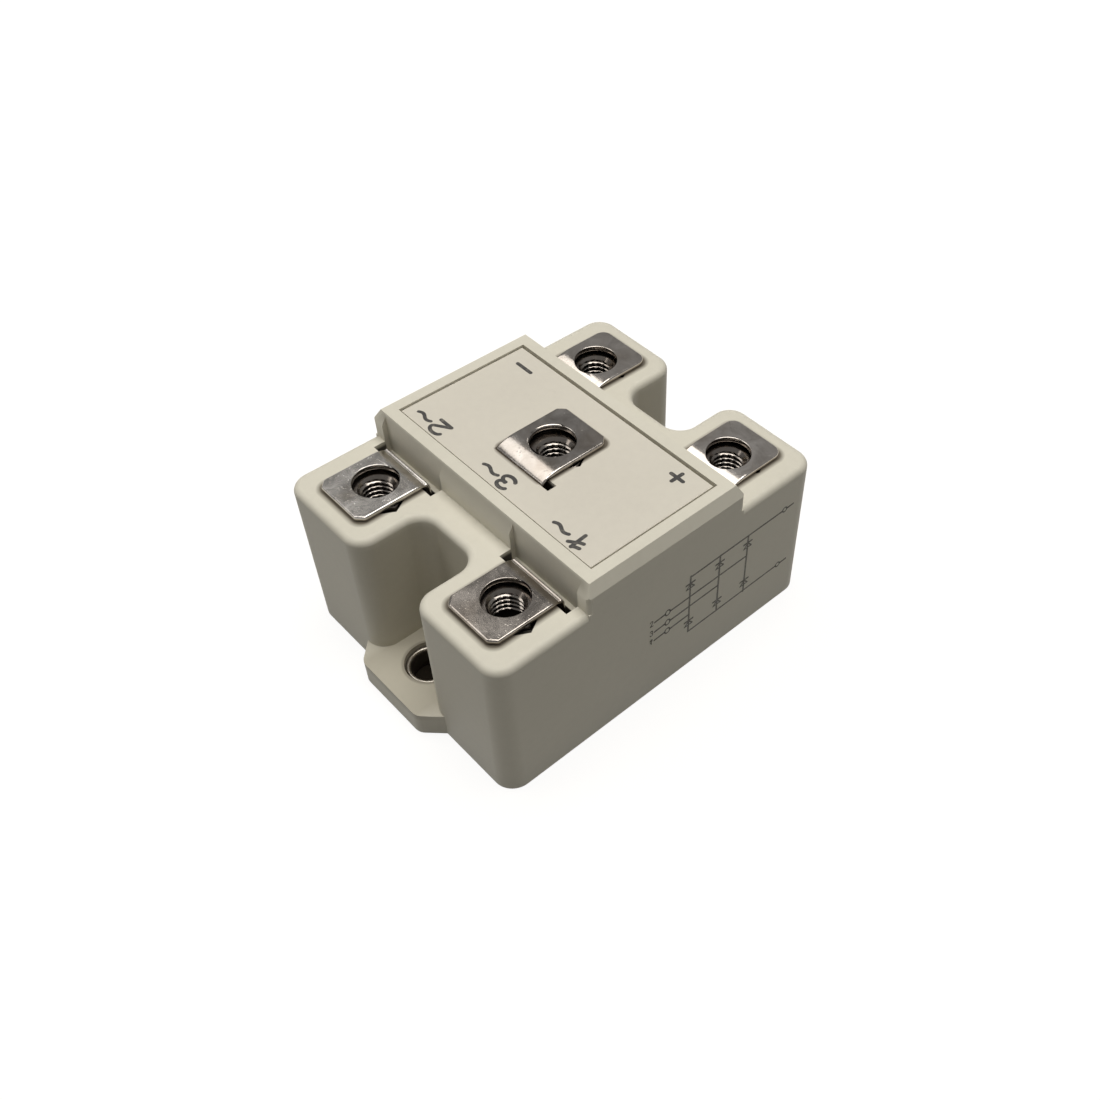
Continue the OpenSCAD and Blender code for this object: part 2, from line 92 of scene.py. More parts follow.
THREAD_ROOT_R = 2.5
THREAD_PITCH = 0.8
THREAD_CREST = 0.12
THREAD_FLANK = 0.26
COUNTERSINK = 0.55
NUT_EDGE = 0.12
NUT_COLUMNS = 96
NUT_ROWS = 80
BUSH_COLUMNS = 72

BEVEL_ANGLE = math.radians(28.0)
HOLE_EDGE_REACH = 3.4
HOLE_EDGE_SHARE = 0.4

# The outer bend of each terminal: its end in X, which way the flat lies, its length and depth
BENDS = {
    "ac1": (-14.25, -1, 2.7, 1.3),
    "ac2": (-14.25, -1, 2.7, 1.3),
    "ac3": (-5.85, 1, 3.7, 1.3),
    "plus": (14.25, 1, 4.4, 2.2),
    "minus": (14.25, 1, 4.4, 2.2),
}
BEND_CUTS = 6

# How much the inlaid panel is trimmed past these places, for the wider groove round it
PANEL_SIDE = 10.8
PANEL_FRONT = -19.9
TRIM_RIGHT = 0.22
TRIM_LEFT = 0.10
TRIM_FRONT = 0.25

# Radius and height round a bush, up the bore, over the rolled bead and down the outside
BUSH_PROFILE = (
    (2.70, 0.20), (2.70, 2.90), (2.74, 3.20), (2.86, 3.42), (3.06, 3.52), (3.26, 3.46), (3.42, 3.30),
    (3.48, 3.08), (3.42, 2.84), (3.20, 2.70), (3.20, 0.15), (3.08, 0.00), (2.82, 0.00),
)

# Which two axes a mask uses: as they are, or mirrored in the middle planes
PLAIN = ("x", "y")
MIRRORED = ("side_x", "side_y")

# Painted shade in the deep slots and nut pockets of the moulding: the axes, the span along each, and
# the upper end
HOLLOW_SHADE_BOXES = (
    (MIRRORED, (13.72, 15.6), (7.3, 20.7), 24.6),
    (MIRRORED, (15.5, 25.4), (8.2, 19.8), 24.6),
    (("x", "side_y"), (-6.1, 5.6), (-0.1, 5.9), 28.9),
)
HOLLOW_FLOOR = 4.0

# Painted contact shadows: the axes, middle and half size, corner radius, reach, lower and upper end,
# share
BUSH_SHADOW_R = 3.7
PAINTED_CONTACT_SHADOWS = (
    (MIRRORED, plan_of("terminal_minus"), 1.3, 0.85, (BLOCK_TOP - 0.2, BLOCK_TOP + 0.1), 1.0),
    (PLAIN, plan_of("terminal_ac3"), 1.0, 0.6, (PANEL_TOP - 0.15, PANEL_TOP + 0.1), 1.0),
    (MIRRORED, ((HOLE_X, 0.0), (BUSH_SHADOW_R, BUSH_SHADOW_R)), BUSH_SHADOW_R, 0.4, (1.0, 4.2), 0.45),
)

# How far past an outline its mask stays full
OUTLINE_OVERLAP = 0.12

# Painted shade in the open notches over the lugs, darkest just above the lug
NOTCH_X = (17.6, 40.0)
NOTCH_Y = (-1.0, 6.0)
NOTCH_Z = (3.85, 23.6)
NOTCH_FADE = (4.1, 5.6)
NOTCH_WALL_SHARE = 0.68


# Shader building blocks

def bare_material(name):
    """A material with only its output node."""
    mat = bpy.data.materials.new(name)
    mat.use_nodes = True
    tree = mat.node_tree
    tree.nodes.clear()
    return mat, tree, tree.nodes.new("ShaderNodeOutputMaterial")


def new_material(name):
    mat, tree, out = bare_material(name)
    shader = tree.nodes.new("ShaderNodeBsdfPrincipled")
    tree.links.new(shader.outputs["BSDF"], out.inputs["Surface"])
    return mat, tree, shader


def object_coords(tree):
    return tree.nodes.new("ShaderNodeTexCoord").outputs["Object"]


def stretched(tree, scale):
    """Object coordinates with a scale of their own along each axis."""
    node = tree.nodes.new("ShaderNodeMapping")
    node.inputs["Scale"].default_value = scale
    tree.links.new(object_coords(tree), node.inputs["Vector"])
    return node.outputs["Vector"]


def noise(tree, scale, detail, roughness=0.55, distortion=0.0, vector=None):
    node = tree.nodes.new("ShaderNodeTexNoise")
    node.inputs["Scale"].default_value = scale
    node.inputs["Detail"].default_value = detail
    node.inputs["Roughness"].default_value = roughness
    node.inputs["Distortion"].default_value = distortion
    tree.links.new(vector or object_coords(tree), node.inputs["Vector"])
    return node.outputs["Fac"]


def voronoi(tree, scale):
    node = tree.nodes.new("ShaderNodeTexVoronoi")
    node.inputs["Scale"].default_value = scale
    tree.links.new(object_coords(tree), node.inputs["Vector"])
    return node.outputs["Distance"]


def ramp(tree, value, stops):
    node = tree.nodes.new("ShaderNodeValToRGB")
    elements = node.color_ramp.elements
    while len(elements) < len(stops):
        elements.new(0.5)
    for element, (position, colour) in zip(elements, stops):
        element.position = position
        element.color = (*colour, 1.0)
    tree.links.new(value, node.inputs["Fac"])
    return node.outputs["Color"]


def remap(tree, value, given, wanted):
    """A value between two given ends, moved to between two wanted ends and held there."""
    node = tree.nodes.new("ShaderNodeMapRange")
    node.clamp = True
    for key, number in zip(("From Min", "From Max", "To Min", "To Max"), (*given, *wanted)):
        node.inputs[key].default_value = number
    tree.links.new(value, node.inputs["Value"])
    return node.outputs["Result"]


def fill(tree, socket, value):
    """Gives a socket a number, a colour or a link."""
    if isinstance(value, (int, float)):
        socket.default_value = value
    elif isinstance(value, tuple):
        socket.default_value = (*value, 1.0)
    else:
        tree.links.new(value, socket)


def math_node(tree, operation, a, b=0.0):
    node = tree.nodes.new("ShaderNodeMath")
    node.operation = operation
    fill(tree, node.inputs[0], a)
    fill(tree, node.inputs[1], b)
    return node.outputs[0]


def combined(tree, operation, values):
    """One operation over several values in turn."""
    result = values[0]
    for value in values[1:]:
        result = math_node(tree, operation, result, value)
    return result


def weighted_sum(tree, *pairs):
    """The sum of several values, each times its own share."""
    parts = [math_node(tree, "MULTIPLY", value, share) for value, share in pairs]
    return combined(tree, "ADD", parts)


def mix_colour(tree, factor, a, b):
    node = tree.nodes.new("ShaderNodeMix")
    node.data_type = "RGBA"
    for socket, value in zip((node.inputs[0], node.inputs[6], node.inputs[7]), (factor, a, b)):
        fill(tree, socket, value)
    return node.outputs[2]


def tinted(tree, colour, mask, share, tone):
    """A colour moved towards a tone by a share, where a mask is one."""
    return mix_colour(tree, math_node(tree, "MULTIPLY", mask, share), colour, tone)


def bump(tree, shader, height, strength, depth):
    node = tree.nodes.new("ShaderNodeBump")
    node.inputs["Strength"].default_value = strength
    node.inputs["Distance"].default_value = depth * MM
    tree.links.new(height, node.inputs["Height"])
    tree.links.new(node.outputs["Normal"], shader.inputs["Normal"])


# Masks by position on the part

def axis_value(tree, name):
    """A coordinate by its name, x, y or z, or its distance from the middle, side_x or side_y."""
    node = tree.nodes.new("ShaderNodeSeparateXYZ")
    tree.links.new(object_coords(tree), node.inputs[0])
    value = node.outputs[name[-1].upper()]
    return math_node(tree, "ABSOLUTE", value) if name.startswith("side") else value


def within(tree, name, span, soft):
    """One where a coordinate is in a span, falling to zero over a soft width outside it."""
    low, high = span
    value = axis_value(tree, name)
    rise = remap(tree, value, ((low - soft) * MM, low * MM), (0.0, 1.0))
    fall = remap(tree, value, (high * MM, (high + soft) * MM), (1.0, 0.0))
    return math_node(tree, "MULTIPLY", rise, fall)


def beside(tree, axes, centre, half, corner, reach):
    """One inside a rounded rectangle seen from above, falling to zero over a reach outside it."""
    squares = []
    for name, middle, extent in zip(axes, centre, half):
        offset = math_node(tree, "SUBTRACT", axis_value(tree, name), middle * MM)
        offset = math_node(tree, "ABSOLUTE", offset)
        past = math_node(tree, "SUBTRACT", offset, (extent - corner) * MM)
        past = math_node(tree, "MAXIMUM", past, 0.0)
        squares.append(math_node(tree, "MULTIPLY", past, past))
    distance = math_node(tree, "SQRT", math_node(tree, "ADD", *squares))
    ends = ((corner + OUTLINE_OVERLAP) * MM, (corner + reach) * MM)
    return remap(tree, distance, ends, (1.0, 0.0))


def painted_hollow_shade(tree):
    """Mask of painted shade in the deep slots and nut pockets, which darkens them nearly to black."""
    masks = []
    for (x_name, y_name), span_x, span_y, top in HOLLOW_SHADE_BOXES:
        parts = (
            within(tree, x_name, span_x, soft=0.05),
            within(tree, y_name, span_y, soft=0.05),
            within(tree, "z", (HOLLOW_FLOOR, top), soft=0.5),
        )
        masks.append(combined(tree, "MULTIPLY", parts))
    return combined(tree, "MAXIMUM", masks)


def painted_contact_shadows(tree):
    """Mask of the painted contact shadows along the terminals and round the bushes."""
    masks = []
    for axes, (centre, half), corner, reach, heights, share in PAINTED_CONTACT_SHADOWS:
        outline = beside(tree, axes, centre, half, corner, reach)
        level = within(tree, "z", heights, soft=0.05)
        masks.append(combined(tree, "MULTIPLY", (outline, level, share)))
    return combined(tree, "MAXIMUM", masks)


def notch_painted_shade(tree):
    """Mask of the two open notches over the lugs, where the moulding is darkened with painted shade."""
    fade = tuple(height * MM for height in NOTCH_FADE)
    parts = (
        within(tree, "side_x", NOTCH_X, soft=0.4),
        within(tree, "side_y", NOTCH_Y, soft=2.0),
        within(tree, "z", NOTCH_Z, soft=1.1),
        remap(tree, axis_value(tree, "z"), fade, (1.0, NOTCH_WALL_SHARE)),
    )
    return combined(tree, "MULTIPLY", parts)


def nut_crown_shade(tree):
    """Mask of the painted shade on the upper end of a nut, under the hole of its terminal."""
    ends = [within(tree, "z", (top - 0.5, top + 0.3), soft=0.25) for top in NUT_TOPS]
    return combined(tree, "MAXIMUM", ends)


# Kinds of material

def plastic_material(name, low, mid, high):
    """Moulding compound with faint clouds and flecks, and painted shade by position."""
    mat, tree, shader = new_material(name)
    cloud = noise(tree, scale=45.0, detail=3.0, roughness=0.5)
    fine = noise(tree, scale=900.0, detail=3.0, roughness=0.6)
    finest = noise(tree, scale=5200.0, detail=2.0, roughness=0.5)
    flecks = remap(tree, voronoi(tree, scale=420.0), (0.03, 0.09), (1.0, 0.0))
    both = weighted_sum(tree, (cloud, 0.65), (fine, 0.35))
    colour = ramp(tree, both, [(0.3, low), (0.5, mid), (0.7, high)])
    colour = tinted(tree, colour, flecks, 0.05, (0.30, 0.26, 0.19))
    # Painted shade: the notches over the lugs darkened and browned
    colour = tinted(tree, colour, notch_painted_shade(tree), 0.42, (0.24, 0.205, 0.13))
    # Painted shadow: dark brown bands where the terminals and bushes meet the moulding
    colour = tinted(tree, colour, painted_contact_shadows(tree), 0.90, (0.075, 0.055, 0.031))
    # Painted shade: the deep slots and nut pockets darkened nearly to black
    colour = tinted(tree, colour, painted_hollow_shade(tree), 0.94, (0.020, 0.015, 0.010))
    tree.links.new(colour, shader.inputs["Base Color"])
    tree.links.new(remap(tree, both, (0.3, 0.7), (0.50, 0.60)), shader.inputs["Roughness"])
    shader.inputs["IOR"].default_value = 1.49
    shader.inputs["Specular IOR Level"].default_value = 0.42
    bump(tree, shader, weighted_sum(tree, (finest, 1.0), (fine, 0.5)), strength=0.22, depth=0.02)
    return mat


def plated_material(name, dark, light, rough, specks, depth=0.03, lines=None, crown_shade_share=0.0):
    """Metal plating with clouds, stains and specks, and drawn lines or painted shade at a nut's upper
    end if wanted.
    """
    mat, tree, shader = new_material(name)
    shader.inputs["Metallic"].default_value = 1.0
    cloud = noise(tree, scale=330.0, detail=5.0, roughness=0.62, distortion=0.6)
    fine = noise(tree, scale=2400.0, detail=3.0, roughness=0.65)
    stains = remap(tree, noise(tree, scale=190.0, detail=3.0, roughness=0.5), (0.52, 0.72), (0.0, 0.45))
    patches = remap(tree, noise(tree, scale=420.0, detail=2.0, roughness=0.5), (0.40, 0.56), (0.0, 1.0))
    dots = remap(tree, voronoi(tree, scale=2100.0), (0.10, 0.26), (1.0, 0.0))
    dots = math_node(tree, "MULTIPLY", dots, patches)
    stained = tuple(value * share for value, share in zip(dark, (0.80, 0.72, 0.62)))
    colour = ramp(tree, cloud, [(0.32, dark), (0.66, light)])
    colour = mix_colour(tree, stains, colour, stained)
    # Painted shade on the nut's upper end, under its terminal's hole
    if crown_shade_share:
        colour = tinted(tree, colour, nut_crown_shade(tree), crown_shade_share, (0.105, 0.082, 0.064))
    tree.links.new(colour, shader.inputs["Base Color"])
    clouded = remap(tree, cloud, (0.3, 0.7), rough)
    roughness = weighted_sum(tree, (clouded, 1.0), (dots, 0.12 * specks))
    tree.links.new(roughness, shader.inputs["Roughness"])
    heights = [(fine, 0.55), (dots, 0.9 * specks)]
    if lines:
        along = stretched(tree, lines)
        heights.append((noise(tree, scale=1.0, detail=3.0, roughness=0.6, vector=along), 0.8))
    bump(tree, shader, weighted_sum(tree, *heights), strength=0.30, depth=depth)
    return mat


def ink_material(name, ink, under, wear):
    """Printing ink, worn in patches to a tone of the plastic under it."""
    mat, tree, shader = new_material(name)
    worn = noise(tree, scale=1500.0, detail=4.0, roughness=0.7)
    worn = remap(tree, worn, (0.50, 0.74), (0.0, wear))
    grain = noise(tree, scale=2600.0, detail=2.0)
    tree.links.new(mix_colour(tree, worn, ink, under), shader.inputs["Base Color"])
    tree.links.new(remap(tree, grain, (0.3, 0.7), (0.48, 0.66)), shader.inputs["Roughness"])
    return mat


def grained_material(name, low, high, rough, scale, metallic=0.0, clear=0.0, ior=1.5):
    """An even material with a fine grain, for the pieces inside."""
    mat, tree, shader = new_material(name)
    shader.inputs["Metallic"].default_value = metallic
    shader.inputs["Transmission Weight"].default_value = clear
    shader.inputs["IOR"].default_value = ior
    grain = noise(tree, scale, detail=4.0, roughness=0.6)
    tree.links.new(ramp(tree, grain, [(0.3, low), (0.7, high)]), shader.inputs["Base Color"])
    tree.links.new(remap(tree, grain, (0.3, 0.7), rough), shader.inputs["Roughness"])
    bump(tree, shader, grain, strength=0.15, depth=0.02)
    return mat


# Materials

HOUSING = plastic_material(
    "cream_moulding", (0.655, 0.622, 0.522), (0.690, 0.657, 0.552), (0.715, 0.682, 0.578))
PANEL = plastic_material(
    "cream_panel", (0.645, 0.605, 0.518), (0.672, 0.632, 0.540), (0.695, 0.655, 0.562))
# Each terminal's plating has a tone of its own, partly its own tarnish and wear, partly painted light
# and shade for how bright each one looks
SHEETS = {
    "ac1": plated_material(
        "tarnished_and_shaded_sheet", (0.29, 0.26, 0.23), (0.43, 0.39, 0.35), (0.15, 0.27),
        specks=0.7, depth=0.05),
    "ac2": plated_material(
        "worn_and_lit_sheet", (0.50, 0.47, 0.43), (0.76, 0.72, 0.67), (0.15, 0.27),
        specks=0.6, depth=0.05),
    "ac3": plated_material(
        "middle_sheet", (0.35, 0.315, 0.28), (0.52, 0.48, 0.44), (0.12, 0.20), specks=0.9),
    "plus": plated_material(
        "bright_sheet", (0.52, 0.47, 0.42), (0.72, 0.665, 0.61), (0.12, 0.20), specks=0.7),
    "minus": plated_material(
        "plain_sheet", (0.47, 0.425, 0.38), (0.66, 0.605, 0.55), (0.12, 0.20), specks=0.7),
}
# The nut's upper end takes painted shade
NUT = plated_material(
    "plated_nut", (0.25, 0.222, 0.198), (0.38, 0.345, 0.31), (0.14, 0.22), specks=0.3, crown_shade_share=0.28)
BUSH = plated_material(
    "bush_plating", (0.34, 0.31, 0.265), (0.50, 0.465, 0.41), (0.26, 0.40), specks=0.6)
BASE = plated_material(
    "base_plating", (0.56, 0.54, 0.52), (0.72, 0.705, 0.69), (0.30, 0.42), specks=0.3,
    lines=(300.0, 9000.0, 300.0))
COPPER = grained_material(
    "bare_copper", (0.70, 0.34, 0.20), (0.86, 0.46, 0.30), (0.30, 0.45), scale=700.0, metallic=1.0)
CERAMIC = grained_material(
    "white_ceramic", (0.80, 0.80, 0.77), (0.90, 0.90, 0.87), (0.55, 0.70), scale=1500.0)
SILICON = grained_material(
    "silicon_chip", (0.10, 0.11, 0.13), (0.20, 0.21, 0.24), (0.15, 0.28), scale=900.0, metallic=0.6)
GEL = grained_material(
    "clear_filling", (0.74, 0.78, 0.78), (0.84, 0.87, 0.87), (0.18, 0.28), scale=260.0,
    clear=0.75, ior=1.41)
INK = ink_material("dark_ink", (0.048, 0.045, 0.042), (0.62, 0.57, 0.46), wear=0.22)
FAINT_INK = ink_material("thin_ink", (0.070, 0.062, 0.042), (0.50, 0.47, 0.36), wear=0.40)


# Objects and meshes

def link(obj):
    bpy.context.scene.collection.objects.link(obj)
    return obj


def set_material(obj, mat):
    obj.data.materials.clear()
    obj.data.materials.append(mat)


def object_from(name, bm, mat):
    """An object on the root body, from mesh code in metres."""
    mesh = bpy.data.meshes.new(name)
    bm.to_mesh(mesh)
    bm.free()
    obj = link(bpy.data.objects.new(name, mesh))
    set_material(obj, mat)
    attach(obj, "root")
    return obj


def new_piece(name, bm, mat):
    """A piece from mesh code in millimetres."""
    bmesh.ops.scale(bm, vec=(MM, MM, MM), verts=bm.verts)
    bmesh.ops.recalc_face_normals(bm, faces=bm.faces)
    obj = object_from(name, bm, mat)
    return obj


def widen_bend(bm, end_x, way, long, deep, top):
    """Turns the tight outer bend of a terminal into the long soft one of pressed sheet."""
    for cut in range(1, BEND_CUTS + 1):
        reach = CAD_BEND_R + (long - CAD_BEND_R) * cut / BEND_CUTS
        bmesh.ops.bisect_plane(
            bm, geom=bm.verts[:] + bm.edges[:] + bm.faces[:], dist=1e-7,
            plane_co=((end_x + way * reach) * MM, 0, 0), plane_no=(1, 0, 0))
    for vert in bm.verts:
        reach = (vert.co.x / MM - end_x) * way
        below = top - vert.co.z / MM
        off_arc = abs(math.hypot(CAD_BEND_R - reach, CAD_BEND_R - below) - CAD_BEND_R)
        on_bend = reach < CAD_BEND_R and off_arc < 0.03
        on_flat = abs(below) < 0.01
        if reach < long and (on_flat or on_bend) and below < CAD_BEND_R + 0.01:
            share = min(max((long - reach) / long, 0.0), 1.0)
            vert.co.z = (top - deep * (1 - math.sqrt(1 - share * share))) * MM
    bmesh.ops.remove_doubles(bm, verts=bm.verts, dist=2.5e-5)


def weigh_edges(bm, hole):
    """Full rounding on a terminal's sharp edges, and less on those round its hole."""
    weight = bm.edges.layers.float.new("bevel_weight_edge")
    for edge in bm.edges:
        if len(edge.link_faces) == 2 and edge.calc_face_angle() > BEVEL_ANGLE:
            ends = [vert.co / MM for vert in edge.verts]
            away = max(math.hypot(end.x - hole[0], end.y - hole[1]) for end in ends)
            edge[weight] = HOLE_EDGE_SHARE if away < HOLE_EDGE_REACH else 1.0


def round_edges(obj, width, segments, limit):
    """Rounds sharp edges and keeps the flat faces flat in shading."""
    bevel = obj.modifiers.new("edges", "BEVEL")
    bevel.width = width * MM
    bevel.segments = segments
    bevel.limit_method = limit
    bevel.angle_limit = BEVEL_ANGLE
    bevel.use_clamp_overlap = limit == "ANGLE"
    bevel.miter_outer = "MITER_SHARP"
    normals = obj.modifiers.new("flat_faces", "WEIGHTED_NORMAL")
    normals.mode = "FACE_AREA"
    normals.weight = 100
    normals.keep_sharp = False


def rounded_copy(node, name, mat, width, segments, bend=None, hole=None):
    """A detailed piece on a CAD node's shape, with its sharp edges rounded as the real one's are."""
    bm = bmesh.new()
    bm.from_mesh(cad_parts[node].data)
    bmesh.ops.remove_doubles(bm, verts=bm.verts, dist=2e-6)
    bmesh.ops.dissolve_limit(bm, angle_limit=math.radians(0.6), verts=bm.verts, edges=bm.edges)
    if bend:
        widen_bend(bm, *bend, top_of(node))
        weigh_edges(bm, hole)
    obj = object_from(name, bm, mat)
    obj.data.polygons.foreach_set("use_smooth", [True] * len(obj.data.polygons))
    round_edges(obj, width, segments, "WEIGHT" if bend else "ANGLE")
    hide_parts(node)
    return obj


def turned(cx, cy, base_z, profiles):
    """A closed skin over profiles of radius and height, spread evenly round a vertical axis."""
    bm = bmesh.new()
    grid = []
    for column, profile in enumerate(profiles):
        turn = 2 * math.pi * column / len(profiles)
        cos, sin = math.cos(turn), math.sin(turn)
        grid.append([bm.verts.new((cx + r * cos, cy + r * sin, base_z + z)) for r, z in profile])
    for here, beyond in zip(grid, grid[1:] + grid[:1]):
        for k in range(len(here)):
            n = (k + 1) % len(here)
            bm.faces.new((here[k], beyond[k], beyond[n], here[n])).smooth = True
    return bm


def nut_profile(column):
    """Radius and height up a nut's cut thread, over its chamfered top and down to its foot."""
    turn = column / NUT_COLUMNS
    half = NUT_AF / 2
    corner = half / math.cos(math.radians(30))
    outer = half / math.cos(math.radians((360 * turn + 30) % 60 - 30))
    chamfer_h = (corner - half) * math.tan(math.radians(30))
    shoulder = NUT_H - chamfer_h + chamfer_h * (corner - outer) / (corner - half)
    mouth = THREAD_CREST_R + COUNTERSINK
    profile = []
    for row in range(NUT_ROWS + 1):
        z = NUT_H * row / NUT_ROWS
        phase = (z / THREAD_PITCH - turn) % 1.0
        flank = min(max((abs(phase - 0.5) - THREAD_CREST) / THREAD_FLANK, 0.0), 1.0)
        thread = THREAD_CREST_R + (THREAD_ROOT_R - THREAD_CREST_R) * flank
        profile.append((max(thread, mouth - (NUT_H - z), mouth - z), z))
    # The outside has soft edges at the mouth, where the chamfer starts and ends, and at the foot
    return profile + [
        (mouth + 0.06, NUT_H),
        (half - 0.25, NUT_H),
        (half - 0.06, NUT_H - 0.015),
        (half + (outer - half) * 0.35 - 0.01, NUT_H - (NUT_H - shoulder) * 0.35 - 0.03),
        (outer - 0.05, shoulder - 0.03),
        (outer, shoulder - NUT_EDGE),
        (outer, NUT_EDGE),
        (outer - NUT_EDGE, 0.0),
        (mouth + 0.06, 0.0),
    ]


# Pieces on the CAD nodes

def trim_panel(panel):
    """Widens the groove round the inlaid panel on three sides."""
    for vert in panel.data.vertices:
        if vert.co.x > PANEL_SIDE * MM:
            vert.co.x -= TRIM_RIGHT * MM
        elif vert.co.x < -PANEL_SIDE * MM:
            vert.co.x += TRIM_LEFT * MM
        if vert.co.y < PANEL_FRONT * MM:
            vert.co.y += TRIM_FRONT * MM


def rolled_bush(side, x):
    bm = turned(x, 0.0, 0.0, [BUSH_PROFILE] * BUSH_COLUMNS)
    bush = new_piece(f"rolled_bush_{side}", bm, BUSH)
    bush.data.set_sharp_from_angle(angle=math.radians(50))
    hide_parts(f"mounting_bush_{side}")


def threaded_nut(key):
    bm = turned(*NUT_SEATS[key], [nut_profile(column) for column in range(NUT_COLUMNS)])
    nut = new_piece(f"threaded_nut_{key}", bm, NUT)
    nut.data.set_sharp_from_angle(angle=math.radians(34))
    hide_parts(f"nut_{key}")


rounded_copy("housing", "moulded_housing", HOUSING, width=0.32, segments=4)
trim_panel(rounded_copy("top_panel", "inlaid_panel", PANEL, width=0.12, segments=3))
rounded_copy("base_plate", "plated_base", BASE, width=0.25, segments=3)
rolled_bush("left", -HOLE_X)
rolled_bush("right", HOLE_X)
for key in TERMINALS:
    rounded_copy(f"terminal_{key}", f"sheet_{key}", SHEETS[key],
                 width=0.28, segments=4, bend=BENDS[key], hole=NUT_SEATS[key])
for key in TERMINALS:
    threaded_nut(key)

# Pieces inside, by how their names begin

INNER_MATERIALS = (
    (("substrate_copper", "island_", "clip_"), COPPER),
    ("ceramic_substrate", CERAMIC),
    ("diode_", SILICON),
    ("silicone_gel", GEL),
)
for beginnings, mat in INNER_MATERIALS:
    for node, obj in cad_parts.items():
        if node.startswith(beginnings):
            set_material(obj, mat)


# Printed marks

INK_LIFT = 0.012
PANEL_LAYER = 0.004
FRONT_LAYER = 0.016


def on_panel(x0, y0):
    """Turns a mark's own field to the panel, where it is read along +Y with its top towards -X."""
    return lambda u, v, lift: Vector((x0 - v, y0 + u, PANEL_TOP + lift))


def on_front(x0, z0):
    """Turns a mark's own field to the front face, where it is read along +X."""
    return lambda u, v, lift: Vector((x0 + u, FRONT_Y - lift, z0 + v))


def round_ends(line, half):
    """A line of points and half widths, with a round end added at each end."""
    head, tail = line[0][0], line[-1][0]
    before = (head - line[1][0]).normalized()
    beyond = (tail - line[-2][0]).normalized()
    for turn in (math.radians(22 * step) for step in range(1, 5)):
        out, reach = half * math.sin(turn), half * math.cos(turn)
        line = [(head + before * out, reach), *line, (tail + beyond * out, reach)]
    return line


def ribbon(bm, points, width, place, closed=False, lift=INK_LIFT):
    """A printed stroke along points, laid on a face of the object."""
    line = [(Vector(point), width / 2) for point in points]
    if not closed:
        line = round_ends(line, width / 2)
    count = len(line)
    rows = []
    for i, (here, reach) in enumerate(line):
        previous = line[i - 1][0] if closed or i > 0 else here
        following = line[(i + 1) % count][0] if closed or i < count - 1 else here
        along = (following - previous).normalized()
        side = Vector((-along.y, along.x)) * reach
        rows.append([bm.verts.new(place(*(here + offset), lift)) for offset in (side, -side)])
    for i in range(count if closed else count - 1):
        first, second = rows[i], rows[(i + 1) % count]
        bm.faces.new((first[0], first[1], second[1], second[0]))


def arc(cx, cy, rx, ry, start, stop, steps):
    """Points on an elliptical arc between two angles in degrees."""
    turns = [math.radians(start + (stop - start) * i / steps) for i in range(steps + 1)]
    return [(cx + rx * math.cos(turn), cy + ry * math.sin(turn)) for turn in turns]


def wave(length, height=0.5, steps=24):
    """One period of a sine, the sign for alternating current."""
    shares = [i / steps for i in range(steps + 1)]
    return [(length * (share - 0.5), height / 2 * math.sin(2 * math.pi * share)) for share in shares]


def digit_strokes(kind, h, w):
    """Plain digits round the middle of a field of height h and width w."""
    if kind == "1":
        stem = [(-0.04 * w, 0.5 * h), (0.0, 0.1 * h), (0.04 * w, -0.5 * h)]
        left = [(-0.44 * w, 0.29 * h), (-0.2 * w, 0.37 * h), (-0.02 * w, 0.48 * h)]
        right = [(0.06 * w, 0.18 * h), (0.22 * w, 0.28 * h), (0.36 * w, 0.37 * h)]
        low = [(-0.36 * w, -0.06 * h), (-0.14 * w, 0.02 * h), (0.02 * w, 0.11 * h)]
        return [stem, left, right, low]
    if kind == "2":
        bowl = arc(0, 0.22 * h, 0.44 * w, 0.28 * h, 165, -30, 22)
        foot = [(-0.44 * w, -0.5 * h), (0.46 * w, -0.5 * h)]
        return [bowl + [(-0.40 * w, -0.46 * h)], foot]
    upper = arc(-0.02 * w, 0.25 * h, 0.42 * w, 0.25 * h, 155, -85, 22)
    lower = arc(-0.02 * w, -0.23 * h, 0.47 * w, 0.27 * h, 85, -155, 24)
    return [upper, lower]


# Marks on the panel: name, strokes, place in X and Y, and width of stroke
PANEL_MARKS = (
    ("mark_input_1", digit_strokes("1", 2.6, 2.4), (-8.95, -15.35), 0.56),
    ("mark_input_1_wave", [wave(2.9)], (-9.05, -12.2), 0.54),
    ("mark_input_2", digit_strokes("2", 2.4, 2.6), (-9.0, 13.55), 0.56),
    ("mark_input_2_wave", [wave(2.8)], (-9.05, 16.85), 0.52),
    ("mark_input_3", digit_strokes("3", 2.4, 2.2), (-9.0, -0.9), 0.58),
    ("mark_input_3_wave", [wave(3.0)], (-8.95, 2.3), 0.52),
    ("mark_minus", [[(-1.45, 0), (1.45, 0)]], (7.8, 16.0), 0.6),
    ("mark_plus", [[(-1.1, 0), (1.1, 0)], [(0, -1.0), (0, 1.0)]], (8.25, -15.35), 0.6),
)

# The circuit on the front face: places in X and Z, and widths of stroke
RAILS = (19.2, 7.7)
RAIL_END = 22.2
RAIL_RING = 22.65
RAIL_TAIL = (23.15, 24.4)
COLUMNS = (4.05, 9.7, 15.25)
DIODE_ROWS = (17.5, 9.65)
INPUTS = (("1", 11.35), ("3", 13.15), ("2", 15.15))
INPUT_DIGIT = -3.1
INPUT_TAIL = (-2.5, -0.6)
INPUT_RING = -0.1
INPUT_START = 0.45
STROKE = 0.34
FINE_STROKE = 0.24
DIGIT_STROKE = 0.2


def panel_mark(name, strokes, spot, width):
    bm = bmesh.new()
    for layer, points in enumerate(strokes):
        ribbon(bm, points, width, on_panel(*spot), lift=INK_LIFT + PANEL_LAYER * layer)
    new_piece(name, bm, INK)


